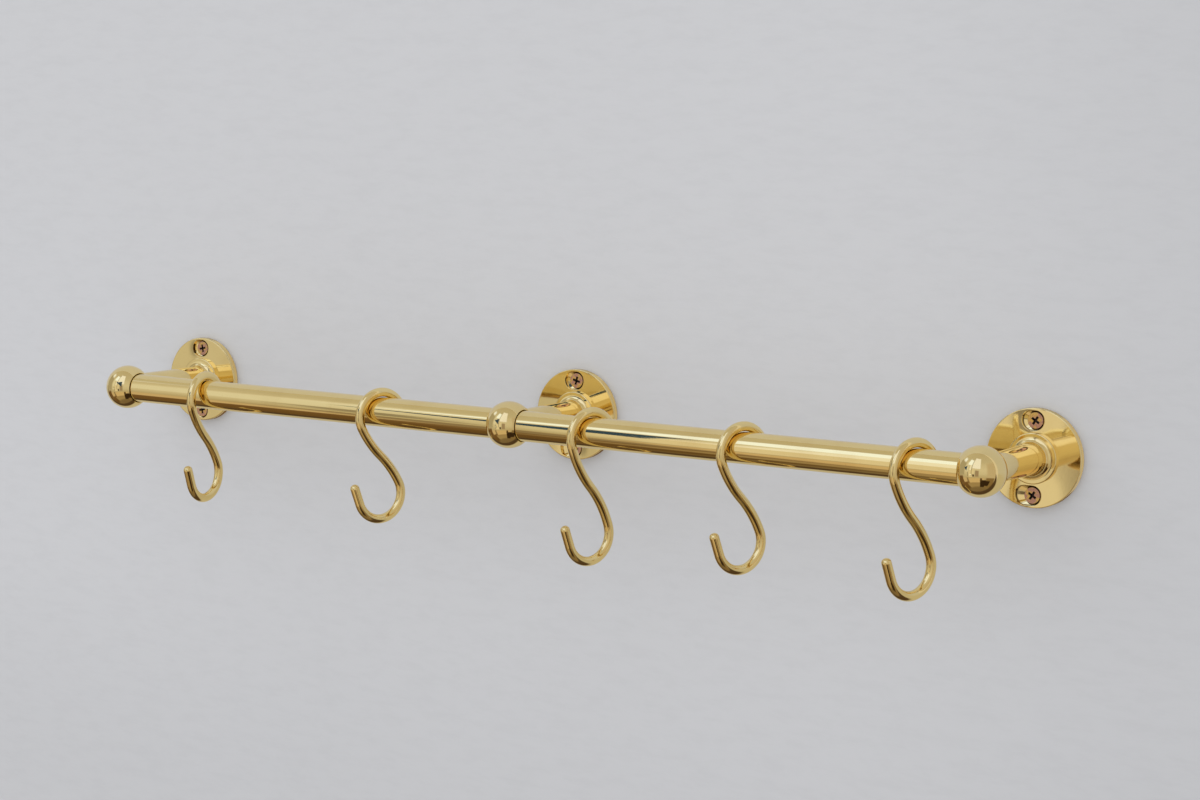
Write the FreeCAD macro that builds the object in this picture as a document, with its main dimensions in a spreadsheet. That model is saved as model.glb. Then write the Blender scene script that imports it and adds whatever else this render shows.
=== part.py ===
import FreeCAD, Part
import math
import os
import re
import Sketcher

# A kitchen utensil rail: a straight brass tube on three turned wall brackets, with five wire S-hooks.
# X runs along the rail, Z is up, the wall is the plane y = 0 and the front of the rail faces -Y.
# The origin is the middle of the centre flange's back. Lengths are in millimetres, angles in degrees.

SIZES = {
    # Rail tube and where it runs
    "rail_diameter": 13.0,
    "rail_wall": 1.2,
    "rail_edge": 0.3,
    "rail_projection": 55.0,
    "rail_end_gap": 0.5,
    "bay_length": 215.0,
    # Pillar: collar, cove, arm and ball, turned in one piece and bored across for the rail
    "ball_wall": 3.5,
    "rail_clearance": 0.3,
    "bore_past_centre": 3.0,
    "bore_edge": 0.3,
    "arm_tip_diameter": 11.4,
    "arm_foot_diameter": 12.8,
    "cove_radius": 2.4,
    "collar_diameter": 20.6,
    "collar_thickness": 1.8,
    "collar_edge": 0.5,
    # Wall flange with two countersunk slots
    "flange_diameter": 40.0,
    "flange_thickness": 3.0,
    "flange_edge": 0.4,
    "slot_width": 4.6,
    "slot_rim_width": 8.0,
    "slot_margin": 1.0,
    "upper_slot_run": 1.6,
    "lower_slot_run": 3.2,
    # Wall screws
    "screw_head_diameter": 6.6,
    "screw_head_rim": 0.2,
    "screw_shank_diameter": 4.2,
    "screw_thread_diameter": 4.0,
    "screw_depth_in_wall": 26.0,
    "screw_point": 5.0,
    "recess_length": 3.7,
    "recess_width": 1.0,
    "recess_depth": 1.5,
    "seat_gap": 0.05,
    # Pillar screws, from behind through the flange into the pillar
    "pillar_screw_diameter": 5.0,
    "pillar_screw_head": 9.2,
    "pillar_screw_rim": 0.2,
    "pillar_screw_reach": 9.0,
    "pillar_hole_diameter": 5.4,
    "pillar_sink_diameter": 10.0,
    "pillar_socket_across": 3.0,
    "pillar_socket_depth": 1.5,
    "drill_allowance": 2.0,
    "thread_gap": 0.05,
    # Grub screws, from below in each ball
    "grub_diameter": 4.0,
    "grub_sink": 0.6,
    "grub_socket_across": 2.0,
    "grub_socket_floor": 0.9,
    # S-hooks, hung on the rail and turned a little about the vertical
    "hook_wire": 4.0,
    "hook_play": 2.3,
    "hook_rest_gap": 0.2,
    "hook_lower_bend": 10.8,
    "hook_sweep": 47.0,
    "hook_flare": 20.5,
    "hook_end_length": 9.4,
    "hook_end_flat": 0.4,
    "hook_1_from_left": 47.2,
    "hook_1_turn": 4.6,
    "hook_1_drop": 34.9,
    "hook_2_from_centre": -67.5,
    "hook_2_turn": -21.5,
    "hook_2_drop": 34.4,
    "hook_3_from_centre": 41.1,
    "hook_3_turn": -18.9,
    "hook_3_drop": 41.1,
    "hook_4_from_centre": 112.4,
    "hook_4_turn": -24.2,
    "hook_4_drop": 36.7,
    "hook_5_from_right": -27.4,
    "hook_5_turn": -22.2,
    "hook_5_drop": 38.3,
}

# Bays from the centre bracket to each bracket
BRACKETS = {"left": -1, "centre": 0, "right": 1}
HOOKS = {1: "left", 2: "centre", 3: "centre", 4: "centre", 5: "right"}

# Sizes that follow from the ones above
BALL_RADIUS = "(rail_diameter / 2 + ball_wall)"
BORE_RADIUS = "(rail_diameter / 2 + rail_clearance)"
COLLAR_FRONT = "(flange_thickness + collar_thickness)"
SLOT_RADIUS = "(flange_diameter / 2 - slot_margin - slot_rim_width / 2)"
SCREW_TOP = ("(flange_thickness - (slot_rim_width - screw_head_diameter) / 2"
             " + screw_head_rim + seat_gap)")
SCREW_CONE_END = f"({SCREW_TOP} - screw_head_rim - (screw_head_diameter - screw_shank_diameter) / 2)"
PILLAR_SCREW_TOP = "((pillar_sink_diameter - pillar_screw_head) / 2 - pillar_screw_rim - seat_gap)"
PILLAR_SCREW_CONE_END = (f"({PILLAR_SCREW_TOP} + pillar_screw_rim"
                         " + (pillar_screw_head - pillar_screw_diameter) / 2)")
PILLAR_SCREW_END = "(flange_thickness + pillar_screw_reach)"
GRUB_LENGTH = "(ball_wall - grub_sink - seat_gap)"
HOOK_UPPER_BEND = "(rail_diameter / 2 + hook_play + hook_wire / 2)"
HOOK_UPPER_CENTRE = "(hook_rest_gap - hook_play)"

# How near an edge lies to where it is looked for, and the sketcher's numbers for its axes and points
EDGE_MATCH = 1e-3
H_AXIS, V_AXIS = range(-1, -3, -1)
START, END, CENTRE = range(1, 4)
NORMAL = FreeCAD.Vector(0, 0, 1)

doc = FreeCAD.newDocument("utensil_rail")
sheet = doc.addObject("Spreadsheet::Sheet", "sizes")
for row, (alias, number) in enumerate(SIZES.items(), start=1):
    sheet.set(f"A{row}", alias)
    sheet.set(f"B{row}", str(number))
    sheet.setAlias(f"B{row}", alias)
doc.recompute()


def bound(text):
    """The expression with every size in it written as a cell of the sheet."""
    return re.sub(r"[a-z]\w*", lambda word: "sizes." + word[0] if word[0] in SIZES else word[0], text)


def value(text):
    """What the expression comes to with the sizes as they are."""
    return float(sheet.evalExpression(bound(text)))


def bind(thing, prop, text):
    thing.setExpression(prop, bound(text))


def new_body(label):
    body = doc.addObject("PartDesign::Body", label)
    body.Label = label
    return body


def place_on_wall(body, bays):
    """Stands a bracket piece, modelled with its axis along Z, on the wall with that axis to the front."""
    body.Placement = FreeCAD.Placement(FreeCAD.Vector(), FreeCAD.Rotation(FreeCAD.Vector(1, 0, 0), 90))
    bind(body, "Placement.Base.x", f"{bays} * bay_length")


def new_sketch(body, name, role, offset=None):
    """A sketch on one of the body's own planes, moved along the plane's normal by offset."""
    sketch = body.newObject("Sketcher::SketchObject", f"{body.Name}_{name}")
    plane = next(feature for feature in body.Origin.OriginFeatures if feature.Role == role)
    sketch.AttachmentSupport = [(plane, "")]
    sketch.MapMode = "FlatFace"
    if offset:
        bind(sketch, "AttachmentOffset.Base.z", offset)
    return sketch


def dimension(sketch, kind, *where, text):
    index = sketch.addConstraint(Sketcher.Constraint(kind, *where, value(text)))
    bind(sketch, f"Constraints[{index}]", text)


def pin(sketch, geometry, point, across, up):
    """Holds a sketch point at its distances from the sketch's origin."""
    for kind, text, axis in (("DistanceX", across, V_AXIS), ("DistanceY", up, H_AXIS)):
        if text == "0":
            sketch.addConstraint(Sketcher.Constraint("PointOnObject", geometry, point, axis))
        elif value(text) < 0:
            dimension(sketch, kind, geometry, point, -1, START, text=f"-({text})")
        else:
            dimension(sketch, kind, -1, START, geometry, point, text=text)


def vector(across, up):
    return FreeCAD.Vector(value(across), value(up), 0)


def draw_outline(sketch, corners):
    """A closed outline of straight edges through corners, each an (across, up) pair of expressions."""
    count = len(corners)
    for here, there in zip(corners, corners[1:] + corners[:1]):
        sketch.addGeometry(Part.LineSegment(vector(*here), vector(*there)), False)
    for index, corner in enumerate(corners):
        sketch.addConstraint(Sketcher.Constraint("Coincident", (index - 1) % count, END, index, START))
        pin(sketch, index, START, *corner)


def draw_circle(sketch, across, up, radius):
    outline = Part.Circle(vector(across, up), NORMAL, value(radius))
    circle = sketch.addGeometry(outline, False)
    pin(sketch, circle, CENTRE, across, up)
    dimension(sketch, "Radius", circle, text=radius)


def draw_slot(sketch, run, up, radius):
    """A slot whose right end is centred on the vertical axis and whose left end is run away from it."""
    left, right, middle = f"-{run}", "0", value(up)
    size = value(radius)
    ends = [(right, -math.pi / 2, math.pi / 2), (left, math.pi / 2, 3 * math.pi / 2)]
    for across, low, high in ends:
        circle = Part.Circle(vector(across, up), NORMAL, size)
        sketch.addGeometry(Part.ArcOfCircle(circle, low, high), False)
    for here, there, side in ((right, left, size), (left, right, -size)):
        sketch.addGeometry(Part.LineSegment(FreeCAD.Vector(value(here), middle + side, 0),
                                            FreeCAD.Vector(value(there), middle + side, 0)), False)
    for first, second in ((0, 2), (2, 1), (1, 3), (3, 0)):
        sketch.addConstraint(Sketcher.Constraint("Tangent", first, END, second, START))
    sketch.addConstraint(Sketcher.Constraint("Equal", 0, 1))
    pin(sketch, 0, CENTRE, right, up)
    pin(sketch, 1, CENTRE, left, up)
    dimension(sketch, "Radius", 0, text=radius)


def revolve(body, sketch):
    turned = body.newObject("PartDesign::Revolution", f"{body.Name}_turned")
    turned.Profile = sketch
    turned.ReferenceAxis = (sketch, ["V_Axis"])
    turned.Angle = 360
    doc.recompute()
    return turned


def pad(body, sketch, length, symmetric=False):
    grown = body.newObject("PartDesign::Pad", f"{sketch.Name}_pad")
    grown.Profile = sketch
    grown.SideType = "Symmetric" if symmetric else "One side"
    bind(grown, "Length", length)
    doc.recompute()
    return grown


def pocket(body, sketch, length, other_length=None, towards_normal=False):
    """Cuts against the sketch's normal, or along it; other_length also cuts the other way."""
    cut = body.newObject("PartDesign::Pocket", f"{sketch.Name}_cut")
    cut.Profile = sketch
    cut.Reversed = towards_normal
    bind(cut, "Length", length)
    if other_length:
        cut.SideType = "Two sides"
        bind(cut, "Length2", other_length)
    before = cut.BaseFeature.Shape.Volume
    doc.recompute()
    if not cut.Shape.Volume < before:
        raise RuntimeError(f"{cut.Name} cuts nothing")
    return cut


def ring_edges(feature, radius, centre):
    """The names of the feature's round edges with this radius about this point."""
    names = []
    for number, edge in enumerate(feature.Shape.Edges, start=1):
        if edge.Degenerated or not isinstance(edge.Curve, Part.Circle):
            continue
        same_size = abs(edge.Curve.Radius - radius) < EDGE_MATCH
        if same_size and edge.Curve.Center.distanceToPoint(centre) < EDGE_MATCH:
            names.append(f"Edge{number}")
    return names


def flat_edges(feature, axis, place, wanted=lambda box: True):
    """The names of the edges that lie in the plane at this place on an axis, if their box is wanted."""
    names = []
    for number, edge in enumerate(feature.Shape.Edges, start=1):
        box = edge.BoundBox
        low, high = getattr(box, f"{axis}Min"), getattr(box, f"{axis}Max")
        if abs(low - place) < EDGE_MATCH and abs(high - place) < EDGE_MATCH and wanted(box):
            names.append(f"Edge{number}")
    return names


def dress(body, kind, name, feature, edges, size):
    """A fillet or chamfer of one size on the named edges of a feature."""
    if not edges:
        raise RuntimeError(f"{body.Name} has no edges for {name}")
    dressed = body.newObject(f"PartDesign::{kind}", f"{body.Name}_{name}")
    dressed.Base = (feature, edges)
    bind(dressed, "Radius" if kind == "Fillet" else "Size", size)
    doc.recompute()
    return dressed


def hexagon(across_flats, up):
    """Corners of a hexagon about a point on the vertical axis, a corner to each side."""
    side = f"{across_flats} / sqrt(3)"
    half = f"{across_flats} / 2"
    return [(side, up), (f"{side} / 2", f"{up} + {half}"), (f"-{side} / 2", f"{up} + {half}"),
            (f"-{side}", up), (f"-{side} / 2", f"{up} - {half}"), (f"{side} / 2", f"{up} - {half}")]


def make_rail():
    body = new_body("rail_tube")
    bind(body, "Placement.Base.y", "-rail_projection")
    section = new_sketch(body, "section", "YZ_Plane")
    draw_circle(section, "0", "0", "rail_diameter / 2")
    draw_circle(section, "0", "0", "rail_diameter / 2 - rail_wall")
    tube = pad(body, section, "2 * (bay_length + bore_past_centre - rail_end_gap)", symmetric=True)
    half = value("bay_length + bore_past_centre - rail_end_gap")
    mouths = [FreeCAD.Vector(side * half, 0, 0) for side in (-1, 1)]
    rims = [edge for mouth in mouths for edge in ring_edges(tube, value("rail_diameter / 2"), mouth)]
    dress(body, "Chamfer", "ends", tube, rims, "rail_edge")
    return body


def make_flange(side, bays):
    """A turned disc with a countersunk slot above and below, and a hole sunk from behind."""
    body = new_body(f"flange_{side}")
    place_on_wall(body, bays)
    disc_sketch = new_sketch(body, "disc", "XY_Plane")
    draw_circle(disc_sketch, "0", "0", "flange_diameter / 2")
    disc = pad(body, disc_sketch, "flange_thickness")
    face = value("flange_thickness")
    rim = ring_edges(disc, value("flange_diameter / 2"), FreeCAD.Vector(0, 0, face))
    feature = dress(body, "Fillet", "edge", disc, rim, "flange_edge")
    hole_sketch = new_sketch(body, "hole", "XY_Plane")
    draw_circle(hole_sketch, "0", "0", "pillar_hole_diameter / 2")
    feature = pocket(body, hole_sketch, "flange_thickness", towards_normal=True)
    mouth = ring_edges(feature, value("pillar_hole_diameter / 2"), FreeCAD.Vector())
    feature = dress(body, "Chamfer", "hole_sink", feature, mouth,
                    "(pillar_sink_diameter - pillar_hole_diameter) / 2")
    for name, up in (("upper", SLOT_RADIUS), ("lower", f"-{SLOT_RADIUS}")):
        slot_sketch = new_sketch(body, f"{name}_slot", "XY_Plane")
        draw_slot(slot_sketch, f"{name}_slot_run", up, "slot_width / 2")
        feature = pocket(body, slot_sketch, "flange_thickness", towards_normal=True)
        near = value("slot_width")
        middle = value(up)
        loop = flat_edges(feature, "Z", face, lambda box: abs(box.Center.y - middle) < near)
        feature = dress(body, "Chamfer", f"{name}_sink", feature, loop, "(slot_rim_width - slot_width) / 2")
    return body


def draw_pillar(sketch):
    """Half the section of a pillar, from its foot on the flange to the top of its ball."""
    corners = [("0", "flange_thickness"), ("collar_diameter / 2", "flange_thickness"),
               ("collar_diameter / 2", COLLAR_FRONT), ("arm_foot_diameter / 2", COLLAR_FRONT)]
    top = f"rail_projection + {BALL_RADIUS}"
    radius = value(BALL_RADIUS)
    tip_radius = value("arm_tip_diameter / 2")
    ball_centre = vector("0", "rail_projection")
    tip = FreeCAD.Vector(tip_radius, ball_centre.y - math.sqrt(radius ** 2 - tip_radius ** 2), 0)
    points = [vector(*corner) for corner in corners] + [tip]
    for here, there in zip(points, points[1:]):
        sketch.addGeometry(Part.LineSegment(here, there), False)
    ball = Part.Circle(ball_centre, NORMAL, radius)
    tip_angle = math.atan2(tip.y - ball_centre.y, tip.x)
    arc = sketch.addGeometry(Part.ArcOfCircle(ball, tip_angle, math.pi / 2), False)
    axis = sketch.addGeometry(Part.LineSegment(vector("0", top), points[0]), False)
    for index, corner in enumerate(corners):
        if index:
            sketch.addConstraint(Sketcher.Constraint("Coincident", index - 1, END, index, START))
        pin(sketch, index, START, *corner)
    arm = len(corners) - 1
    sketch.addConstraint(Sketcher.Constraint("Coincident", arm, END, arc, START))
    sketch.addConstraint(Sketcher.Constraint("Coincident", arc, END, axis, START))
    sketch.addConstraint(Sketcher.Constraint("Coincident", axis, END, 0, START))
    sketch.addConstraint(Sketcher.Constraint("PointOnObject", arc, END, V_AXIS))
    pin(sketch, arc, CENTRE, "0", "rail_projection")
    dimension(sketch, "Radius", arc, text=BALL_RADIUS)
    dimension(sketch, "DistanceX", -1, START, arm, END, text="arm_tip_diameter / 2")


def make_pillar(side, bays):
    """Collar, cove, arm and ball turned in one, with the rail's bore and the holes for its two screws."""
    body = new_body(f"pillar_{side}")
    place_on_wall(body, bays)
    profile = new_sketch(body, "profile", "XZ_Plane")
    draw_pillar(profile)
    feature = revolve(body, profile)
    front = FreeCAD.Vector(0, 0, value(COLLAR_FRONT))
    corner = ring_edges(feature, value("arm_foot_diameter / 2"), front)
    feature = dress(body, "Fillet", "cove", feature, corner, "cove_radius")
    rim = ring_edges(feature, value("collar_diameter / 2"), front)
    feature = dress(body, "Fillet", "collar_edge", feature, rim, "collar_edge")
    bore_sketch = new_sketch(body, "bore", "YZ_Plane")
    draw_circle(bore_sketch, "0", "rail_projection", BORE_RADIUS)
    through, blind = f"2 * {BALL_RADIUS}", "bore_past_centre"
    to_left = blind if bays < 0 else through
    to_right = blind if bays > 0 else through
    feature = pocket(body, bore_sketch, to_left, other_length=to_right)
    mouth = math.sqrt(value(BALL_RADIUS) ** 2 - value(BORE_RADIUS) ** 2)
    mouths = flat_edges(feature, "X", -mouth) + flat_edges(feature, "X", mouth)
    dress(body, "Chamfer", "bore_edge", feature, mouths, "bore_edge")
    foot_sketch = new_sketch(body, "foot_hole", "XY_Plane")
    draw_circle(foot_sketch, "0", "0", "pillar_screw_diameter / 2 + thread_gap")
    pocket(body, foot_sketch, f"{PILLAR_SCREW_END} + drill_allowance", towards_normal=True)
    grub_sketch = new_sketch(body, "grub_hole", "XZ_Plane")
    draw_circle(grub_sketch, "0", "rail_projection", "grub_diameter / 2 + thread_gap")
    pocket(body, grub_sketch, BALL_RADIUS, towards_normal=True)
    return body


def make_wall_screws(side, bays):
    """Two countersunk screws with cross recesses, one in each slot of a flange."""
    body = new_body(f"wall_screws_{side}")
    place_on_wall(body, bays)
    profile = new_sketch(body, "profile", "XZ_Plane", offset=f"-{SLOT_RADIUS}")
    point_start = "-(screw_depth_in_wall - screw_point)"
    draw_outline(profile, [
        ("0", SCREW_TOP), ("0", "-screw_depth_in_wall"),
        ("screw_thread_diameter / 2", point_start), ("screw_thread_diameter / 2", "0"),
        ("screw_shank_diameter / 2", "0"), ("screw_shank_diameter / 2", SCREW_CONE_END),
        ("screw_head_diameter / 2", f"{SCREW_TOP} - screw_head_rim"), ("screw_head_diameter / 2", SCREW_TOP)])
    revolve(body, profile)
    cross = new_sketch(body, "cross", "XY_Plane", offset=SCREW_TOP)
    reach, half = "recess_length / 2", "recess_width / 2"
    corners = []
    for across, up in ((1, 1), (-1, 1), (-1, -1), (1, -1)):
        arm = [(f"{across} * {reach}", f"{SLOT_RADIUS} + {up} * {half}"),
               (f"{across} * {half}", f"{SLOT_RADIUS} + {up} * {half}"),
               (f"{across} * {half}", f"{SLOT_RADIUS} + {up} * {reach}")]
        corners += arm if across == up else arm[::-1]
    draw_outline(cross, corners)
    recess = pocket(body, cross, "recess_depth")
    mirrored = body.newObject("PartDesign::Mirrored", f"{body.Name}_pair")
    mirrored.TransformMode = "Whole shape"
    plane = next(feature for feature in body.Origin.OriginFeatures if feature.Role == "XZ_Plane")
    mirrored.MirrorPlane = (plane, [""])
    mirrored.BaseFeature = recess
    body.Tip = mirrored
    doc.recompute()
    return body


def make_pillar_screw(side, bays):
    """A countersunk screw with a hexagon socket, its head sunk in the flange's back."""
    body = new_body(f"pillar_screw_{side}")
    place_on_wall(body, bays)
    profile = new_sketch(body, "profile", "XZ_Plane")
    draw_outline(profile, [
        ("0", PILLAR_SCREW_TOP), ("pillar_screw_head / 2", PILLAR_SCREW_TOP),
        ("pillar_screw_head / 2", f"{PILLAR_SCREW_TOP} + pillar_screw_rim"),
        ("pillar_screw_diameter / 2", PILLAR_SCREW_CONE_END),
        ("pillar_screw_diameter / 2", PILLAR_SCREW_END), ("0", PILLAR_SCREW_END)])
    revolve(body, profile)
    socket = new_sketch(body, "socket", "XY_Plane", offset=PILLAR_SCREW_TOP)
    draw_outline(socket, hexagon("pillar_socket_across", "0"))
    pocket(body, socket, "pillar_socket_depth", towards_normal=True)
    return body


def make_grub_screw(side, bays):
    """A headless screw with a hexagon socket that holds the rail from below."""
    body = new_body(f"grub_screw_{side}")
    place_on_wall(body, bays)
    inner = "(rail_diameter / 2 + seat_gap)"
    round_sketch = new_sketch(body, "round", "XZ_Plane", offset=inner)
    draw_circle(round_sketch, "0", "rail_projection", "grub_diameter / 2")
    pad(body, round_sketch, GRUB_LENGTH)
    socket = new_sketch(body, "socket", "XZ_Plane", offset=f"{inner} + {GRUB_LENGTH}")
    draw_outline(socket, hexagon("grub_socket_across", "rail_projection"))
    pocket(body, socket, f"{GRUB_LENGTH} - grub_socket_floor")
    return body


def draw_hook_line(sketch, drop):
    """The wire's middle line: straight flared ends, a bend over the rail, two wide sweeps and a lower bend.

    The bend over the rail is centred on the vertical axis, the lower bend is straight below it, and the
    sweeps between them meet on that axis and curve opposite ways, which makes the S.
    """
    bend, sweep, fall = value(HOOK_UPPER_BEND), value("hook_sweep"), value(drop)
    upper = vector("0", HOOK_UPPER_CENTRE)
    lower = upper - FreeCAD.Vector(0, fall, 0)
    flare = math.radians(value("hook_flare"))
    # The line's slant from the vertical where the sweeps meet, and where a bend passes into a sweep
    middle_slant = math.asin(2 * bend / fall + (fall ** 2 / 4 - bend ** 2) / (sweep * fall))
    bend_slant = math.asin((sweep * math.sin(middle_slant) - fall / 2) / (sweep - bend))
    to_sweep_centre = FreeCAD.Vector(math.cos(bend_slant), math.sin(bend_slant), 0) * (sweep - bend)
    over_rail = Part.ArcOfCircle(Part.Circle(upper, NORMAL, bend), flare, math.pi + bend_slant)
    front_sweep = Part.ArcOfCircle(Part.Circle(upper + to_sweep_centre, NORMAL, sweep),
                                   math.pi + bend_slant, math.pi + middle_slant)
    back_sweep = Part.ArcOfCircle(Part.Circle(lower - to_sweep_centre, NORMAL, sweep),
                                  bend_slant, middle_slant)
    under = Part.ArcOfCircle(Part.Circle(lower, NORMAL, bend), flare - math.pi, bend_slant)
    outward = FreeCAD.Vector(math.sin(flare), -math.cos(flare), 0) * value("hook_end_length")
    tail = Part.LineSegment(over_rail.StartPoint + outward, over_rail.StartPoint)
    tip = Part.LineSegment(under.StartPoint, under.StartPoint - outward)
    sketch.addGeometry([tail, over_rail, front_sweep, back_sweep, under, tip], False)
    for first, first_end, second, second_end in ((0, END, 1, START), (1, END, 2, START), (2, END, 3, END),
                                                 (3, START, 4, END), (4, START, 5, START)):
        sketch.addConstraint(Sketcher.Constraint("Tangent", first, first_end, second, second_end))
    pin(sketch, 1, CENTRE, "0", HOOK_UPPER_CENTRE)
    sketch.addConstraint(Sketcher.Constraint("PointOnObject", 4, CENTRE, V_AXIS))
    sketch.addConstraint(Sketcher.Constraint("PointOnObject", 2, END, V_AXIS))
    dimension(sketch, "DistanceY", 4, CENTRE, 1, CENTRE, text=drop)
    dimension(sketch, "Radius", 1, text=HOOK_UPPER_BEND)
    dimension(sketch, "Radius", 4, text="hook_lower_bend")
    for wide_arc in (2, 3):
        dimension(sketch, "Radius", wide_arc, text="hook_sweep")
    for straight_end in (0, 5):
        dimension(sketch, "Distance", straight_end, text="hook_end_length")
        dimension(sketch, "DistanceX", straight_end, END, straight_end, START,
                  text="hook_end_length * sin(hook_flare * 1 deg)")
    doc.recompute()
    return [sketch.getPoint(0, START), sketch.getPoint(5, END)]


def make_hook(number, bracket):
    """An S-hook of round wire, hung on the rail and turned about the vertical."""
    name = f"hook_{number}"
    body = new_body(f"s_hook_{number}")
    body.Placement = FreeCAD.Placement(FreeCAD.Vector(), FreeCAD.Rotation(FreeCAD.Vector(0, 0, 1), 1))
    bind(body, "Placement.Base.x", f"{BRACKETS[bracket]} * bay_length + {name}_from_{bracket}")
    bind(body, "Placement.Base.y", "-rail_projection")
    bind(body, "Placement.Rotation.Angle", f"{name}_turn")
    line = new_sketch(body, "line", "YZ_Plane")
    ends = draw_hook_line(line, f"{name}_drop")
    doc.recompute()
    section = body.newObject("Sketcher::SketchObject", f"{body.Name}_section")
    section.AttachmentSupport = [(line, "Edge1")]
    section.MapMode = "NormalToEdge"
    draw_circle(section, "0", "0", "hook_wire / 2")
    wire = body.newObject("PartDesign::AdditivePipe", f"{body.Name}_wire")
    wire.Profile = section
    wire.Spine = (line, [f"Edge{index}" for index in range(1, line.GeometryCount + 1)])
    doc.recompute()
    places = [FreeCAD.Vector(0, end.x, end.y) for end in ends]
    rims = [edge for place in places for edge in ring_edges(wire, value("hook_wire / 2"), place)]
    dress(body, "Fillet", "ends", wire, rims, "(hook_wire - hook_end_flat) / 2")
    return body


bodies = [make_rail()]
for make in (make_flange, make_pillar, make_wall_screws, make_pillar_screw, make_grub_screw):
    bodies += [make(side, bays) for side, bays in BRACKETS.items()]
bodies += [make_hook(number, bracket) for number, bracket in HOOKS.items()]
doc.recompute()

for item in doc.Objects:
    if "Invalid" in item.State or "Error" in item.State:
        raise RuntimeError(f"{item.Name} did not build: {item.State}")
for body in bodies:
    if body.Shape.isNull() or not body.Shape.isValid():
        raise RuntimeError(f"{body.Label} has no valid shape")

os.makedirs("parts", exist_ok=True)
for body in bodies:
    body.Shape.exportStep(f"parts/{body.Label}.step")
    print(body.Label, len(body.Shape.Solids), "solids", round(body.Shape.Volume, 2), "mm3")
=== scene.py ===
import math

import bmesh
import bpy
from mathutils import Matrix, Vector


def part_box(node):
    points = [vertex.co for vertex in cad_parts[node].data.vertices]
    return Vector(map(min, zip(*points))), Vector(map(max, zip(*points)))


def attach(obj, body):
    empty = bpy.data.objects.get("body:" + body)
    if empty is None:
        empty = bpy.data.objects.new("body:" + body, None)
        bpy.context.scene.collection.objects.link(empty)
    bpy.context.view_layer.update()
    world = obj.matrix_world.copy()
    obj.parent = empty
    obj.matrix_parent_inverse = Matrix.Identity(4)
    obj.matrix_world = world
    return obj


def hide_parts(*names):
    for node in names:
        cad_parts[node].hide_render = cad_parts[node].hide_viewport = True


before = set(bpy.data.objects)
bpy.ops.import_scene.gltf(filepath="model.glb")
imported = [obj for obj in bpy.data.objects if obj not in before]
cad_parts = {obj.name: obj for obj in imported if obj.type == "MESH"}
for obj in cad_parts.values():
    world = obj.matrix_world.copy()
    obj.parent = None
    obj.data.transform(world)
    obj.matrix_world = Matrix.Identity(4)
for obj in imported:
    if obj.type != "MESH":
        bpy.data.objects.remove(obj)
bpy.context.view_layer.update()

# A polished brass utensil rail on a pale wall, seen from the right and a little from above.
# Lengths are in metres in the frame of the solids: X along the rail, Y into the wall, Z up.

MM = 0.001

# The camera that the photograph was taken with
CAMERA_PLACE = Vector((0.5835, -0.9275, 0.1230))
CAMERA_YAW = math.radians(31.69)
CAMERA_PITCH = math.radians(6.07)
CAMERA_ROLL = math.radians(-1.468)
CAMERA_LENS = 74.84
CAMERA_SENSOR = 36.0
CAMERA_CLIP = (0.05, 20.0)

# Colours of the object, linear
BRASS = (0.95, 0.76, 0.36, 1.0)
BRASS_TARNISHED = (0.80, 0.59, 0.25, 1.0)
# Dark residue with painted shade, at the foot of the slot walls
POLISH_RESIDUE_AND_SHADE = (0.07, 0.045, 0.02, 1.0)
COPPERY = (0.60, 0.33, 0.25, 1.0)
COPPERY_WORN = (0.78, 0.50, 0.16, 1.0)
# Dirt with painted shade, in the screws' recesses and round their heads
SCREW_DIRT_AND_SHADE = (0.016, 0.010, 0.006, 1.0)
ZINC_DARK = (0.42, 0.43, 0.44, 1.0)
ZINC_PALE = (0.62, 0.62, 0.60, 1.0)

# Roughness of the brass, and its fine polishing lines as waves per metre along X, Y and Z
POLISH = 0.05
WIRE_POLISH = 0.07
RAIL_LINES = (30.0, 6000.0, 6000.0)
EVEN_LINES = (900.0, 900.0, 900.0)
FLANGE_LINES = (1500.0, 1500.0, 1500.0)
LINE_HEIGHT = 0.03 * MM
LINE_STRENGTH = 0.05

# Soft waves that hand polishing leaves in the brass
SWELL_SCALE = 90.0
SWELL_HEIGHT = 0.04 * MM

# Tarnish clouds and specks on the brass: waves per metre, the noise at which they set in and are full, their
# share in the dullness, and the roughness that full dullness or residue with painted shade adds
TARNISH_SCALE = 60.0
TARNISH_RANGE = (0.45, 0.75)
TARNISH_SHARE = 0.3
SPECK_SCALE = 1100.0
SPECK_RANGE = (0.68, 0.76)
SPECK_SHARE = 0.35
DULL_ROUGHNESS = 0.1
RESIDUE_AND_SHADE_ROUGHNESS = 0.3

# Wear on the wall screws, and dirt with painted shade in their recesses and round their heads, in the same
# terms
WEAR_SCALE = 420.0
WEAR_RANGE = (0.46, 0.60)
WEAR_SMOOTHING = -0.1
DIRT_AND_SHADE_SCALE = 1500.0
DIRT_AND_SHADE_LEAST = 0.7
DIRT_AND_SHADE_SWING = 0.5
DIRT_AND_SHADE_ROUGHNESS = 0.35
DIRT_AND_SHADE_DULLING = -0.6
SCREW_ROUGHNESS = 0.34
SCREW_METALLIC = 0.95

# Mottling of the zinc on the hidden screws
ZINC_SCALE = 400.0
ZINC_ROUGHNESS = 0.25
ZINC_ROUGHNESS_SWING = 0.2

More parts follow.
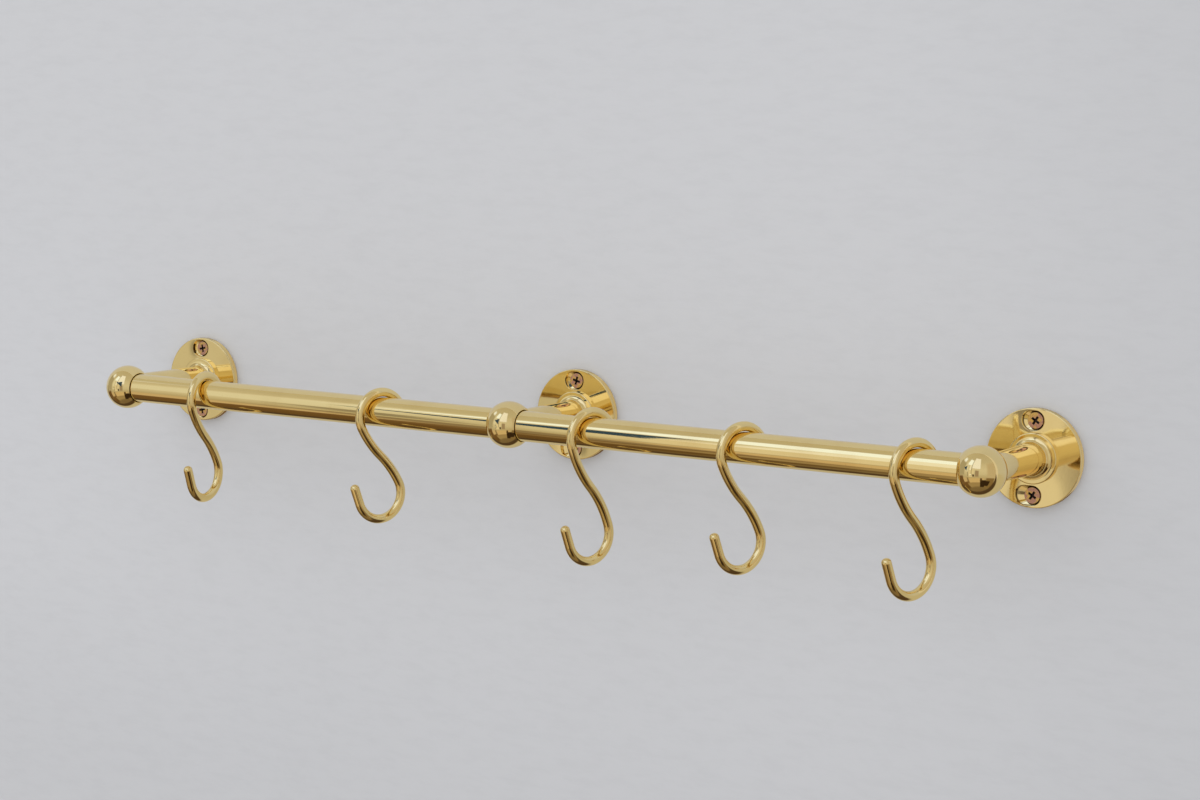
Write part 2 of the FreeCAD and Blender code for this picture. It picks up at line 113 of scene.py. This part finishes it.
# Paint on the wall: its colours, its clouds and brushed grain, and the painted shade that darkens it to the
# right and downwards
WALL_COLOUR = (0.632, 0.637, 0.653, 1.0)
WALL_SHADE = 0.95
WALL_SHADED = tuple(WALL_SHADE * level for level in WALL_COLOUR[:3]) + (1.0,)
WALL_PAINTED_SHADE = (0.0, 0.0, 0.0, 1.0)
WALL_CLOUD_SCALE = 9.0
WALL_CLOUD_SHARE = 0.4
WALL_GRAIN_SCALE = 180.0
WALL_GRAIN_STRETCH = (0.3, 1.0, 1.0)
WALL_GRAIN_RANGE = (0.3, 0.6)
WALL_GRAIN_SHARE = 0.6
WALL_GRAIN_HEIGHT = 0.4 * MM
WALL_GRAIN_STRENGTH = 0.2
WALL_PAINTED_SHADE_RIGHT = (0.12, 0.30)
WALL_PAINTED_SHADE_RIGHT_SHARE = 0.07
WALL_PAINTED_SHADE_BELOW = (-0.07, -0.22)
WALL_PAINTED_SHADE_BELOW_SHARE = 0.08
WALL_ROUGHNESS = 0.9
WALL_SPECULAR = 0.2
WALL_REACH = 5.0
WALL_GAP = 0.4 * MM

# What the metal mirrors in place of the wall: the axis, where a colour sets in and is full, and the colour
WALL_MIRRORED = [
    ("Z", 0.0, -0.03, (0.56, 0.53, 0.45, 1.0)),
    ("X", 0.45, 0.60, (0.75, 0.72, 0.69, 1.0)),
    ("Z", -0.12, -0.17, (0.075, 0.042, 0.018, 1.0)),
]

# The backs of the flanges look through the wall that lies this close to them
UNSEEN_GAP = 3 * MM

# Edges turned by more than this are sharp
SHARP_EDGE = math.radians(40)

# Wall screws: a countersunk head with a cross recess, a plain neck and a thread that runs out to a point
SCREW_SIDES = 40
SCREW_RIM = 0.2 * MM
SCREW_ROUNDING = 0.12 * MM
SCREW_NECK_RADIUS = 2.1 * MM
THREAD_RADIUS = 2.0 * MM
THREAD_CORE_RADIUS = 1.4 * MM
THREAD_PITCH = 1.8 * MM
THREAD_STEPS = 8
THREAD_POINT = 5.0 * MM
THREAD_RIDGE_SHARE = 0.3
THREAD_END_SHARE = 0.04
RECESS_REACH = 1.85 * MM
RECESS_HALF_WIDTH = 0.5 * MM
RECESS_DEPTH = 1.5 * MM
RECESS_LIP = 0.1 * MM
RECESS_TAPER = 0.5
RECESS_TURN = {"left": math.radians(12), "centre": math.radians(-14), "right": math.radians(-32)}
# Dirt with painted shade round the rim of each head and down its neck
DIRT_AND_SHADE_ON_RIM = 0.75
DIRT_AND_SHADE_ON_NECK = 0.5

# Wall flanges: how high the slots lie, how far each runs to the left of its screw, the residue and painted
# shade in them, and the hole for the pillar
SLOT_RISE = 15.0 * MM
SLOT_RUNS = {SLOT_RISE: 1.6 * MM, -SLOT_RISE: 3.2 * MM}
SLOT_RIM_RADIUS = 4.0 * MM
SLOT_HOLE_RADIUS = 2.3 * MM
SLOT_HOLE_RUN = 0.6 * MM
SLOT_ROUNDING = 0.12 * MM
SLOT_LIP = 1.4 * MM
SLOT_SIDES = 64
# Residue with painted shade at the foot of each flange's slot walls, and how far along the slot floor it
# fades out
SLOT_RESIDUE_AND_SHADE = {"left": 0.0, "centre": 0.0, "right": 0.95}
RESIDUE_AND_SHADE_REACH = 0.14
FLANGE_SIDES = 128
FLANGE_EDGE = 0.4 * MM
FLANGE_EDGE_STEPS = 5
PILLAR_HOLE_RADIUS = 2.7 * MM
PILLAR_SINK_RADIUS = 5.0 * MM
BAY_LENGTH = sum(corner[0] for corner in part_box("flange_right")) / 2

# The dip that polishing leaves round each slot, and how far the centre flange leans off the wall
DISH_SPREAD = 4.5 * MM
DISH_DEPTH = 0.22 * MM
CENTRE_LEAN = math.radians(3.5)

# Light on matt surfaces from below, from the side and from above, and the backdrop beyond the wall
SOFT_LIGHT = (0.40, 0.95, 1.50)
SOFT_LIGHT_BLUE = 1.01
BACKDROP = (0.578, 0.582, 0.598, 1.0)

# The room that the metal mirrors, in degrees. First its colour at each elevation
ROOM_BY_HEIGHT = [
    (-90, (0.18, 0.13, 0.08)), (-64, (0.20, 0.15, 0.09)), (-57, (0.125, 0.075, 0.03)),
    (-38, (0.17, 0.10, 0.045)), (-33, (0.26, 0.20, 0.13)), (-28, (0.44, 0.38, 0.28)),
    (-17, (0.50, 0.46, 0.38)), (-4, (0.60, 0.58, 0.53)), (12, (0.65, 0.63, 0.59)),
    (32, (0.60, 0.58, 0.54)), (47, (0.53, 0.51, 0.46)), (90, (0.49, 0.455, 0.40)),
]

# Then patches, each over those before it: azimuths from the way the rail faces, positive to its right,
# elevations, softness of the edges and colour
ROOM_PATCHES = [
    ("left side", (-180, -54), (-12, 30), 4, (0.40, 0.38, 0.33)),
    ("left side below", (-180, -63), (-36, -14), 4, (0.15, 0.09, 0.045)),
    ("right side", (50, 180), (-30, 40), 7, (0.53, 0.47, 0.40)),
    ("near floor", (-50, 22), (-62, -42), 5, (0.34, 0.265, 0.165)),
    ("far floor", (-35, 40), (-42, -22), 3, (0.60, 0.48, 0.33)),
    ("left floor", (-64, -45), (-36, -21), 2, (0.57, 0.46, 0.33)),
    ("lit middle", (-32, -8), (-18, 14), 1.5, (0.72, 0.68, 0.61)),
    ("narrow upright", (-38.6, -35.5), (-15, 0), 0.8, (0.29, 0.27, 0.23)),
    ("brown patch on the floor", (-43, -35.5), (-37, -21), 1.5, (0.26, 0.21, 0.15)),
    ("right side below", (48, 88), (-66, -20), 3, (0.22, 0.155, 0.08)),
    ("dark corner", (44, 69), (-56, -33), 2, (0.035, 0.02, 0.01)),
    ("dark block", (20, 48), (-64, -30), 2, (0.035, 0.02, 0.01)),
    ("dark block above it", (20, 29), (-36, -22), 2, (0.08, 0.05, 0.02)),
    ("small dark patch", (-15, -7), (-17, -7), 2, (0.07, 0.05, 0.04)),
    ("brown patch ahead", (-3, 13), (-16, 10), 2.5, (0.34, 0.28, 0.24)),
    ("pale upright", (-49, -37), (2, 38), 3, (0.72, 0.74, 0.76)),
    ("side light", (-80, -63), (31, 42), 3, (0.90, 1.05, 1.50)),
    ("left light", (-43, -21), (28, 49.5), 2, (0.97, 1.16, 1.66)),
    ("front light", (-19, 20), (18, 62), 2, (0.90, 0.97, 1.25)),
    ("dark edge of the front light", (-21, -18.5), (-9, 60), 0.7, (0.26, 0.23, 0.20)),
    ("bright strip", (-30, -22), (9, 30), 1.5, (0.88, 0.93, 1.08)),
]

# A dark panel, nearer than the rest of the room, that only the metal sees: where its front lies, and the
# X and Z of its corners
PANEL_FRONT = -0.455
PANEL_CORNERS = [(-0.420, 0.186), (-0.310, 0.122), (-0.160, 0.030),
                 (-0.160, 0.236), (-0.310, 0.184), (-0.420, 0.202)]
PANEL_COLOUR = (0.035, 0.075, 0.17, 1.0)


class Nodes:
    """A node tree with short ways to add and join nodes."""

    def __init__(self, owner):
        owner.use_nodes = True
        self.tree = owner.node_tree
        self.tree.nodes.clear()

    def feed(self, socket, value):
        """Joins another node's output to a socket, or sets a plain value on it."""
        if isinstance(value, bpy.types.NodeSocket):
            self.tree.links.new(value, socket)
        else:
            socket.default_value = value

    def add(self, kind, inputs=None, **settings):
        node = self.tree.nodes.new(kind)
        for name, value in settings.items():
            setattr(node, name, value)
        for name, value in (inputs or {}).items():
            self.feed(node.inputs[name], value)
        return node

    def place(self):
        """Where a point lies in its piece."""
        return self.add("ShaderNodeTexCoord").outputs["Object"]

    def axes(self, vector):
        return self.add("ShaderNodeSeparateXYZ", {"Vector": vector}).outputs

    def stretch(self, vector, scale):
        return self.add("ShaderNodeMapping", {"Vector": vector, "Scale": scale}).outputs["Vector"]

    def dirt_and_shade(self):
        """How much dirt and painted shade the mesh gives a point."""
        return self.add("ShaderNodeAttribute", attribute_name="dirt_and_shade").outputs["Fac"]

    def ramp(self, factor, stops):
        """A colour ramp through (position, colour) stops."""
        node = self.add("ShaderNodeValToRGB", {"Fac": factor})
        elements = node.color_ramp.elements
        while len(elements) < len(stops):
            elements.new(0.5)
        for element, (position, colour) in zip(elements, stops):
            element.position = position
            element.color = colour
        return node.outputs["Color"]

    def step(self, value, low, high):
        """Rises smoothly from 0 at low to 1 at high, or falls where low is above high."""
        return self.add("ShaderNodeMapRange", {"Value": value, "From Min": low, "From Max": high},
                        interpolation_type="SMOOTHSTEP").outputs["Result"]

    def between(self, value, ends, soft):
        """1 between two ends and 0 beyond them, with soft edges."""
        low, high = ends
        return self.math("MULTIPLY", self.step(value, low - soft, low + soft),
                         self.step(value, high + soft, high - soft))

    def noise(self, vector, scale, detail=2.0, roughness=0.5):
        node = self.add("ShaderNodeTexNoise",
                        {"Vector": vector, "Scale": scale, "Detail": detail, "Roughness": roughness})
        return node.outputs["Fac"]

    def math(self, operation, *values, clamp=False):
        node = self.add("ShaderNodeMath", dict(enumerate(values)), operation=operation, use_clamp=clamp)
        return node.outputs["Value"]

    def mix(self, factor, first, second):
        node = self.add("ShaderNodeMix", data_type="RGBA")
        sockets = [node.inputs[0]] + [socket for socket in node.inputs if socket.type == "RGBA"]
        for socket, value in zip(sockets, (factor, first, second)):
            self.feed(socket, value)
        return next(socket for socket in node.outputs if socket.type == "RGBA")

    def bump(self, height, distance, strength=1.0, under=None, invert=False):
        """The normal of a relief, which may lie on another one under it."""
        inputs = {"Height": height, "Distance": distance, "Strength": strength}
        if under is not None:
            inputs["Normal"] = under
        return self.add("ShaderNodeBump", inputs, invert=invert).outputs["Normal"]

    def principled(self, inputs):
        return self.add("ShaderNodeBsdfPrincipled", inputs).outputs["BSDF"]

    def mix_shader(self, factor, first, second):
        return self.add("ShaderNodeMixShader", {0: factor, 1: first, 2: second}).outputs["Shader"]

    def show(self, shader):
        """Makes a shader the material's surface."""
        self.add("ShaderNodeOutputMaterial", {"Surface": shader})


def swell(nodes, place):
    """The soft unevenness that hand polishing leaves."""
    return nodes.bump(nodes.noise(place, SWELL_SCALE, detail=0.0), SWELL_HEIGHT)


def slot_dish(nodes, place, lean=0.0):
    """The dip that polishing leaves round each slot of a flange, which may lean off the wall at its top."""
    axes = nodes.axes(place)
    across = nodes.math("WRAP", axes["X"], BAY_LENGTH / 2, -BAY_LENGTH / 2)
    off = nodes.math("SUBTRACT", nodes.math("ABSOLUTE", axes["Z"]), SLOT_RISE)
    square = nodes.math("ADD", nodes.math("MULTIPLY", across, across), nodes.math("MULTIPLY", off, off))
    dip = nodes.math("EXPONENT", nodes.math("MULTIPLY", square, -0.5 / DISH_SPREAD ** 2))
    tilt = nodes.bump(nodes.math("MULTIPLY", axes["Z"], math.tan(lean)), distance=1.0)
    return nodes.bump(dip, DISH_DEPTH, under=tilt, invert=True)


def leaning_slot_dish(nodes, place):
    return slot_dish(nodes, place, CENTRE_LEAN)


def brass(name, roughness, line_scale, relief=swell, residue_and_shade=False):
    """Polished brass with faint tarnish, dull specks, fine polishing lines, and residue with painted shade
    where a mesh has it.
    """
    material = bpy.data.materials.new(name)
    nodes = Nodes(material)
    place = nodes.place()
    tarnish = nodes.step(nodes.noise(place, TARNISH_SCALE, detail=4.0), *TARNISH_RANGE)
    specks = nodes.step(nodes.noise(place, SPECK_SCALE), *SPECK_RANGE)
    dull = nodes.math("MULTIPLY_ADD", tarnish, TARNISH_SHARE, nodes.math("MULTIPLY", specks, SPECK_SHARE))
    colour = nodes.mix(dull, BRASS, BRASS_TARNISHED)
    rough = nodes.math("MULTIPLY_ADD", dull, DULL_ROUGHNESS, roughness)
    # Residue with painted shade, where the mesh gives it
    if residue_and_shade:
        soil_and_shade = nodes.dirt_and_shade()
        colour = nodes.mix(soil_and_shade, colour, POLISH_RESIDUE_AND_SHADE)
        rough = nodes.math("MULTIPLY_ADD", soil_and_shade, RESIDUE_AND_SHADE_ROUGHNESS, rough)
    lines = nodes.noise(nodes.stretch(place, line_scale), 1.0, detail=3.0, roughness=0.6)
    under = relief(nodes, place) if relief else None
    normal = nodes.bump(lines, LINE_HEIGHT, LINE_STRENGTH, under)
    nodes.show(nodes.principled({
        "Base Color": colour, "Metallic": 1.0, "Roughness": rough, "Normal": normal}))
    return material


def screw_metal():
    """Coppery coating on steel, worn to a brassy colour in places, and dark with dirt and painted shade in
    the recess and round the head.
    """
    material = bpy.data.materials.new("bronzed_screw")
    nodes = Nodes(material)
    place = nodes.place()
    wear = nodes.step(nodes.noise(place, WEAR_SCALE, detail=3.0), *WEAR_RANGE)
    patchy = nodes.math("MULTIPLY_ADD", nodes.noise(place, DIRT_AND_SHADE_SCALE), DIRT_AND_SHADE_SWING, DIRT_AND_SHADE_LEAST)
    dark = nodes.math("MULTIPLY", nodes.dirt_and_shade(), patchy, clamp=True)
    colour = nodes.mix(dark, nodes.mix(wear, COPPERY, COPPERY_WORN), SCREW_DIRT_AND_SHADE)
    clean_rough = nodes.math("MULTIPLY_ADD", wear, WEAR_SMOOTHING, SCREW_ROUGHNESS)
    rough = nodes.math("MULTIPLY_ADD", dark, DIRT_AND_SHADE_ROUGHNESS, clean_rough)
    metallic = nodes.math("MULTIPLY_ADD", dark, DIRT_AND_SHADE_DULLING, SCREW_METALLIC)
    nodes.show(nodes.principled({"Base Color": colour, "Metallic": metallic, "Roughness": rough}))
    return material


def plated_steel():
    """Dull zinc plating with faint mottling, on the hidden screws."""
    material = bpy.data.materials.new("zinc_plated")
    nodes = Nodes(material)
    mottle = nodes.noise(nodes.place(), ZINC_SCALE, detail=3.0)
    colour = nodes.mix(mottle, ZINC_DARK, ZINC_PALE)
    rough = nodes.math("MULTIPLY_ADD", mottle, ZINC_ROUGHNESS_SWING, ZINC_ROUGHNESS)
    nodes.show(nodes.principled({"Base Color": colour, "Metallic": 1.0, "Roughness": rough}))
    return material


def wall_paint():
    """Pale grey matt paint that is see-through from behind, so the object's back can be looked at."""
    material = bpy.data.materials.new("wall_paint")
    nodes = Nodes(material)
    geometry = nodes.add("ShaderNodeNewGeometry").outputs
    path = nodes.add("ShaderNodeLightPath").outputs
    place = geometry["Position"]
    axes = nodes.axes(place)

    clouds = nodes.noise(place, WALL_CLOUD_SCALE, detail=5.0, roughness=0.6)
    brushed = nodes.stretch(place, WALL_GRAIN_STRETCH)
    grain = nodes.noise(brushed, WALL_GRAIN_SCALE, detail=5.0, roughness=0.7)
    streaks = nodes.math("MULTIPLY", nodes.step(grain, *WALL_GRAIN_RANGE), WALL_GRAIN_SHARE)
    tone = nodes.math("MULTIPLY_ADD", clouds, WALL_CLOUD_SHARE, streaks)
    colour = nodes.mix(tone, WALL_SHADED, WALL_COLOUR)
    # Painted shade: the wall darkens to the right and downwards, in place of light that falls from the upper
    # left
    right = nodes.math("MULTIPLY", nodes.step(axes["X"], *WALL_PAINTED_SHADE_RIGHT), WALL_PAINTED_SHADE_RIGHT_SHARE)
    below = nodes.math("MULTIPLY", nodes.step(axes["Z"], *WALL_PAINTED_SHADE_BELOW), WALL_PAINTED_SHADE_BELOW_SHARE)
    colour = nodes.mix(nodes.math("ADD", right, below), colour, WALL_PAINTED_SHADE)
    for axis, start, full, shade in WALL_MIRRORED:
        share = nodes.math("MULTIPLY", path["Is Glossy Ray"], nodes.step(axes[axis], start, full))
        colour = nodes.mix(share, colour, shade)

    paint = nodes.principled({
        "Base Color": colour, "Roughness": WALL_ROUGHNESS, "Specular IOR Level": WALL_SPECULAR,
        "Normal": nodes.bump(grain, WALL_GRAIN_HEIGHT, WALL_GRAIN_STRENGTH)})
    near = nodes.math("LESS_THAN", path["Ray Length"], UNSEEN_GAP)
    near_mirror = nodes.math("MULTIPLY", path["Is Glossy Ray"], near)
    unseen = nodes.math("MAXIMUM", geometry["Backfacing"], near_mirror)
    clear = nodes.add("ShaderNodeBsdfTransparent").outputs["BSDF"]
    nodes.show(nodes.mix_shader(unseen, paint, clear))
    return material


def link_piece(name, mesh, material):
    """A mesh with its material, as an object in the scene."""
    mesh.materials.append(material)
    piece = bpy.data.objects.new(name, mesh)
    bpy.context.scene.collection.objects.link(piece)
    return piece


def flat_piece(name, corners, material):
    """One flat face as an object in the scene."""
    mesh = bpy.data.meshes.new(name)
    mesh.from_pydata(corners, [], [range(len(corners))])
    return link_piece(name, mesh, material)


def finish_piece(build, name, material, node):
    """The built mesh as a piece of the rail's body, in place of a CAD node."""
    bmesh.ops.recalc_face_normals(build, faces=build.faces)
    for edge in build.edges:
        edge.smooth = edge.calc_face_angle(math.pi) < SHARP_EDGE
    mesh = bpy.data.meshes.new(name)
    build.to_mesh(mesh)
    build.free()
    piece = link_piece(name, mesh, material)
    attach(piece, "rail")
    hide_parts(node)


def add_loop(build, points):
    return [build.verts.new(point) for point in points]


def add_band(build, first, second):
    """A smooth strip of faces between two loops with as many points."""
    for n in range(len(first)):
        after = (n + 1) % len(first)
        build.faces.new((first[n], second[n], second[after], first[after])).smooth = True


def add_bands(build, loops):
    for first, second in zip(loops, loops[1:]):
        add_band(build, first, second)


def fill_flat(build, *loops):
    """Flat faces inside the first loop and outside the others."""
    edges = []
    for loop in loops:
        for first, second in zip(loop, loop[1:] + loop[:1]):
            edges.append(build.edges.get((first, second)) or build.edges.new((first, second)))
    bmesh.ops.triangle_fill(build, use_beauty=True, edges=edges)


def round_loop(build, middle, depth, radius_at, sides=SCREW_SIDES):
    """A loop round an axis along Y, with the radius given for each angle."""
    angles = [math.tau * n / sides for n in range(sides)]
    return add_loop(build, [(middle[0] + radius_at(angle) * math.cos(angle), depth,
                             middle[1] + radius_at(angle) * math.sin(angle)) for angle in angles])


def thread_radius(depth, angle, tip):
    """A ridge that winds round a core, both narrowing over the last stretch to the tip."""
    turn = (depth / THREAD_PITCH - angle / math.tau) % 1.0
    ridge = max(0.0, 1.0 - abs(turn - 0.5) / THREAD_RIDGE_SHARE)
    narrowing = min(1.0, max(THREAD_END_SHARE, (tip - depth) / THREAD_POINT))
    return narrowing * (THREAD_CORE_RADIUS + ridge * (THREAD_RADIUS - THREAD_CORE_RADIUS))


def cross_outline(reach, half_width, turn):
    """The corners of an upright cross, turned about its middle."""
    arm = [(reach, -half_width), (reach, half_width), (half_width, half_width)]
    corners = []
    for quarter in range(4):
        angle = turn + quarter * math.pi / 2
        corners += [(x * math.cos(angle) - z * math.sin(angle), x * math.sin(angle) + z * math.cos(angle))
                    for x, z in arm]
    return corners


def add_screw(build, dirt_and_shade, middle, top, tip, head_radius, turn):
    """One screw with its axis along Y, its head at the top and its point at the tip."""
    cone_end = top + SCREW_RIM + head_radius - SCREW_NECK_RADIUS
    # Each ring's depth, radius and share of dirt with painted shade, darkest round the rim of the head
    depth_radius_dirt_and_shade = [
        (top, head_radius - SCREW_ROUNDING, 0.0),
        (top + SCREW_ROUNDING / 4, head_radius - SCREW_ROUNDING / 3, DIRT_AND_SHADE_ON_RIM),
        (top + SCREW_ROUNDING, head_radius, 1.0),
        (top + SCREW_RIM, head_radius, 1.0),
        (cone_end, SCREW_NECK_RADIUS, DIRT_AND_SHADE_ON_NECK),
        (0.0, SCREW_NECK_RADIUS, 0.0),
    ]
    rings = []
    for depth, radius, soil_and_shade in depth_radius_dirt_and_shade:
        rings.append(round_loop(build, middle, depth, lambda angle: radius))
        for vertex in rings[-1]:
            vertex[dirt_and_shade] = soil_and_shade
    steps = round(THREAD_STEPS * tip / THREAD_PITCH)
    for n in range(1, steps + 1):
        depth = tip * n / steps
        rings.append(round_loop(build, middle, depth, lambda angle: thread_radius(depth, angle, tip)))
    add_bands(build, rings)
    build.faces.new(rings[-1])

    recess = []
    for depth, share in ((0.0, 1.0), (RECESS_LIP, 1.0), (RECESS_DEPTH, RECESS_TAPER)):
        outline = cross_outline(RECESS_REACH * share, RECESS_HALF_WIDTH * (1 + share) / 2, turn)
        recess.append(add_loop(build, [(middle[0] + x, top + depth, middle[1] + z) for x, z in outline]))
    mouth, lip, floor = recess
    # Dirt with painted shade fills the recess below its mouth
    for vertex in lip + floor:
        vertex[dirt_and_shade] = 1.0
    add_bands(build, recess)
    build.faces.new(floor)
    fill_flat(build, rings[0], mouth)


def make_wall_screws(side, material):
    """The pair of screws in one flange, the size and place of the plain ones that they replace."""
    low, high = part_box(f"wall_screws_{side}")
    head_radius = (high[0] - low[0]) / 2
    middle_x = (high[0] + low[0]) / 2
    build = bmesh.new()
    dirt_and_shade = build.verts.layers.float.new("dirt_and_shade")
    for middle_z in (low[2] + head_radius, high[2] - head_radius):
        add_screw(build, dirt_and_shade, (middle_x, middle_z), low[1], high[1], head_radius, RECESS_TURN[side])
    finish_piece(build, f"wall_screw_pair_{side}", material, f"wall_screws_{side}")


def slot_angle(n):
    return math.tau * (n + 0.5) / SLOT_SIDES - math.pi / 2


def leftness(angle):
    """How far left a point round a slot lies, from 0 to 1."""
    return (1 - math.cos(angle)) / 2


def slot_loop(build, middle, radius, run, depth_at):
    """A loop round a slot whose right end lies at the middle, with the depth given for each leftness."""
    points = []
    for angle in map(slot_angle, range(SLOT_SIDES)):
        shift = -run if math.cos(angle) < 0 else 0.0
        points.append((middle[0] + shift + radius * math.cos(angle), depth_at(leftness(angle)),
                       middle[1] + radius * math.sin(angle)))
    return add_loop(build, points)


def add_slot(build, dirt_and_shade, soil_and_shade, middle, front, run):
    """A slot with a wall at its left end and a floor down to the screw's hole; its front and back loops."""
    foot_radius = SLOT_RIM_RADIUS - SLOT_ROUNDING
    hole_depth = front + SLOT_RIM_RADIUS - SLOT_HOLE_RADIUS
    hole_run = min(run, SLOT_HOLE_RUN)

    def along_floor(foot, hole):
        return foot + RESIDUE_AND_SHADE_REACH * (hole - foot)

    def foot_depth(left):
        return front + SLOT_ROUNDING + left * SLOT_LIP

    radius_run_depth = [
        (SLOT_RIM_RADIUS + SLOT_ROUNDING, run, lambda left: front),
        (SLOT_RIM_RADIUS + SLOT_ROUNDING / 4, run, lambda left: front + SLOT_ROUNDING / 3),
        (foot_radius, run, foot_depth),
        (along_floor(foot_radius, SLOT_HOLE_RADIUS), along_floor(run, hole_run),
         lambda left: along_floor(foot_depth(left), hole_depth)),
        (SLOT_HOLE_RADIUS, hole_run, lambda left: hole_depth),
        (SLOT_HOLE_RADIUS, hole_run, lambda left: 0.0),
    ]
    loops = [slot_loop(build, middle, *ring) for ring in radius_run_depth]
    mouth, _, foot, _, _, back = loops
    # Residue with painted shade at the foot of the slot's wall, most at its left end
    for n, vertex in enumerate(foot):
        vertex[dirt_and_shade] = soil_and_shade * leftness(slot_angle(n)) ** 2
    add_bands(build, loops)
    return mouth, back


def make_flange(side, material):
    """One wall flange, the size and place of the plain one, with finer slots."""
    low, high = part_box(f"flange_{side}")
    radius = (high[0] - low[0]) / 2
    front = low[1]
    middle = ((high[0] + low[0]) / 2, (high[2] + low[2]) / 2)
    build = bmesh.new()
    dirt_and_shade = build.verts.layers.float.new("dirt_and_shade")
    quarter = [math.pi / 2 * n / FLANGE_EDGE_STEPS for n in range(FLANGE_EDGE_STEPS + 1)]
    edge = [(front + FLANGE_EDGE * (1 - math.cos(turn)), radius - FLANGE_EDGE * (1 - math.sin(turn)))
            for turn in quarter] + [(0.0, radius)]
    outer = [round_loop(build, middle, depth, lambda angle: wide, FLANGE_SIDES) for depth, wide in edge]
    hole = [(front, PILLAR_HOLE_RADIUS), (PILLAR_HOLE_RADIUS - PILLAR_SINK_RADIUS, PILLAR_HOLE_RADIUS),
            (0.0, PILLAR_SINK_RADIUS)]
    inner = [round_loop(build, middle, depth, lambda angle: wide) for depth, wide in hole]
    add_bands(build, outer)
    add_bands(build, inner)
    slots = [add_slot(build, dirt_and_shade, SLOT_RESIDUE_AND_SHADE[side], (middle[0], middle[1] + rise), front, run)
             for rise, run in SLOT_RUNS.items()]
    fill_flat(build, outer[0], inner[0], *[mouth for mouth, _ in slots])
    fill_flat(build, outer[-1], inner[-1], *[back for _, back in slots])
    finish_piece(build, f"wall_flange_{side}", material, f"flange_{side}")


def make_wall():
    """A large upright plane just behind the flanges, facing the room."""
    corners = [(x, WALL_GAP, z) for x, z in ((-WALL_REACH, -WALL_REACH), (WALL_REACH, -WALL_REACH),
                                             (WALL_REACH, WALL_REACH), (-WALL_REACH, WALL_REACH))]
    flat_piece("wall", corners, wall_paint())


def make_dark_panel():
    material = bpy.data.materials.new("dark_panel")
    nodes = Nodes(material)
    nodes.show(nodes.add("ShaderNodeEmission", {"Color": PANEL_COLOUR, "Strength": 1.0}).outputs["Emission"])
    panel = flat_piece("dark_panel", [(x, PANEL_FRONT, z) for x, z in PANEL_CORNERS], material)
    panel.visible_camera = False
    panel.visible_diffuse = False
    panel.visible_shadow = False


def make_world():
    """Even pale light for the eye and for matt surfaces, and a plain room for the metal to mirror."""
    world = bpy.data.worlds.new("room")
    bpy.context.scene.world = world
    nodes = Nodes(world)
    axes = nodes.axes(nodes.add("ShaderNodeTexCoord").outputs["Generated"])
    elevation = nodes.math("DEGREES", nodes.math("ARCSINE", axes["Z"]))
    azimuth = nodes.math("DEGREES", nodes.math("ARCTAN2", axes["X"], nodes.math("MULTIPLY", axes["Y"], -1.0)))
    level = nodes.math("MULTIPLY_ADD", elevation, 1 / 180, 0.5)

    room = nodes.ramp(level, [(degrees / 180 + 0.5, (*shade, 1)) for degrees, shade in ROOM_BY_HEIGHT])
    for _, azimuths, elevations, soft, shade in ROOM_PATCHES:
        across = nodes.between(azimuth, azimuths, soft)
        upright = nodes.between(elevation, elevations, soft)
        room = nodes.mix(nodes.math("MULTIPLY", across, upright), room, (*shade, 1))
    light = nodes.ramp(level, [(n / 2, (grey, grey, grey * SOFT_LIGHT_BLUE, 1))
                               for n, grey in enumerate(SOFT_LIGHT)])

    path = nodes.add("ShaderNodeLightPath").outputs
    lit, mirrored, seen = [
        nodes.add("ShaderNodeBackground", {"Color": shade, "Strength": 1.0}).outputs["Background"]
        for shade in (light, room, BACKDROP)]
    unseen = nodes.mix_shader(path["Is Glossy Ray"], lit, mirrored)
    either = nodes.mix_shader(path["Is Camera Ray"], unseen, seen)
    nodes.add("ShaderNodeOutputWorld", {"Surface": either})


def make_camera():
    forward = Vector((-math.sin(CAMERA_YAW) * math.cos(CAMERA_PITCH),
                      math.cos(CAMERA_YAW) * math.cos(CAMERA_PITCH), -math.sin(CAMERA_PITCH)))
    level_right = Vector((math.cos(CAMERA_YAW), math.sin(CAMERA_YAW), 0))
    level_down = forward.cross(level_right)
    right = math.cos(CAMERA_ROLL) * level_right + math.sin(CAMERA_ROLL) * level_down
    up = math.sin(CAMERA_ROLL) * level_right - math.cos(CAMERA_ROLL) * level_down
    data = bpy.data.cameras.new("camera")
    data.lens = CAMERA_LENS
    data.sensor_width = CAMERA_SENSOR
    data.sensor_fit = "HORIZONTAL"
    data.clip_start, data.clip_end = CAMERA_CLIP
    camera = bpy.data.objects.new("camera", data)
    turn = Matrix((right, up, -forward)).transposed()
    camera.matrix_world = Matrix.Translation(CAMERA_PLACE) @ turn.to_4x4()
    bpy.context.scene.collection.objects.link(camera)
    bpy.context.scene.camera = camera


def dress(material, *prefixes):
    """Puts a material on the CAD nodes whose names start with one of the prefixes."""
    for name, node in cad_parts.items():
        if name.startswith(prefixes):
            node.data.materials.clear()
            node.data.materials.append(material)


dress(brass("brass_rail", POLISH, RAIL_LINES, relief=None), "rail_tube")
dress(brass("brass_pillar", POLISH, EVEN_LINES), "pillar_left", "pillar_centre", "pillar_right")
dress(brass("brass_wire", WIRE_POLISH, EVEN_LINES), "s_hook")
dress(plated_steel(), "pillar_screw", "grub_screw")

flange_brass = brass("brass_flange", POLISH, FLANGE_LINES, slot_dish, residue_and_shade=True)
leaning_brass = brass("brass_flange_centre", POLISH, FLANGE_LINES, leaning_slot_dish, residue_and_shade=True)
bronzed = screw_metal()
dress(flange_brass, "flange")
dress(bronzed, "wall_screws")
for bracket in RECESS_TURN:
    make_flange(bracket, leaning_brass if bracket == "centre" else flange_brass)
    make_wall_screws(bracket, bronzed)

make_wall()
make_dark_panel()
make_world()
make_camera()
bpy.context.scene.view_settings.view_transform = "Standard"
